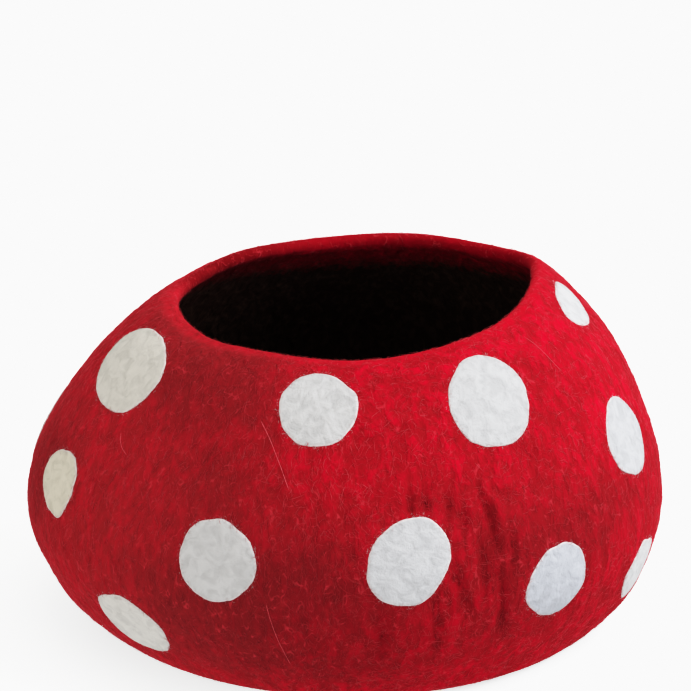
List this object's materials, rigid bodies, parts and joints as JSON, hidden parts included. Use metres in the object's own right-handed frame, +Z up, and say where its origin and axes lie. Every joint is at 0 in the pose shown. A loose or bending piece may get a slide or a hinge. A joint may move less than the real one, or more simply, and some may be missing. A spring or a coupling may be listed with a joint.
{
  "type": "felt cat cave",
  "caption": "Round hollow pet cave of thick felted wool, flattened at the base, with a lipped round opening at the top and felt dots outside.",
  "frame": {"origin": "middle of the part's box, at the level of the surface that the cave stands on", "axes": "+Z up out of the opening, -Y towards the front, +X to the right seen from the front"},
  "size_m": [0.403, 0.3936, 0.2197],
  "materials": {
    "felt_red": "matte hand-felted wool, bright red, dark brown-black wool felted into its inside",
    "felt_white": "matte thin wool felt, off-white",
    "felt_dark": "matte brown-black wool on the inside"
  },
  "bodies": {
    "root": {"felt_shell": "felt_red", "dot_01": "felt_white", "dot_02": "felt_white", "dot_03": "felt_white", "dot_04": "felt_white", "dot_05": "felt_white", "dot_06": "felt_white", "dot_07": "felt_white", "dot_08": "felt_white", "dot_09": "felt_white", "dot_10": "felt_white", "dot_11": "felt_white", "dot_12": "felt_white", "dot_13": "felt_white", "dot_14": "felt_white", "dot_15": "felt_white", "dot_16": "felt_white", "dot_17": "felt_white", "dot_18": "felt_white", "dot_19": "felt_white", "dot_20": "felt_white", "dot_21": "felt_white", "dot_22": "felt_white", "dot_23": "felt_white", "dot_24": "felt_white", "dot_25": "felt_white", "dot_26": "felt_white"}
  },
  "joints": []
}
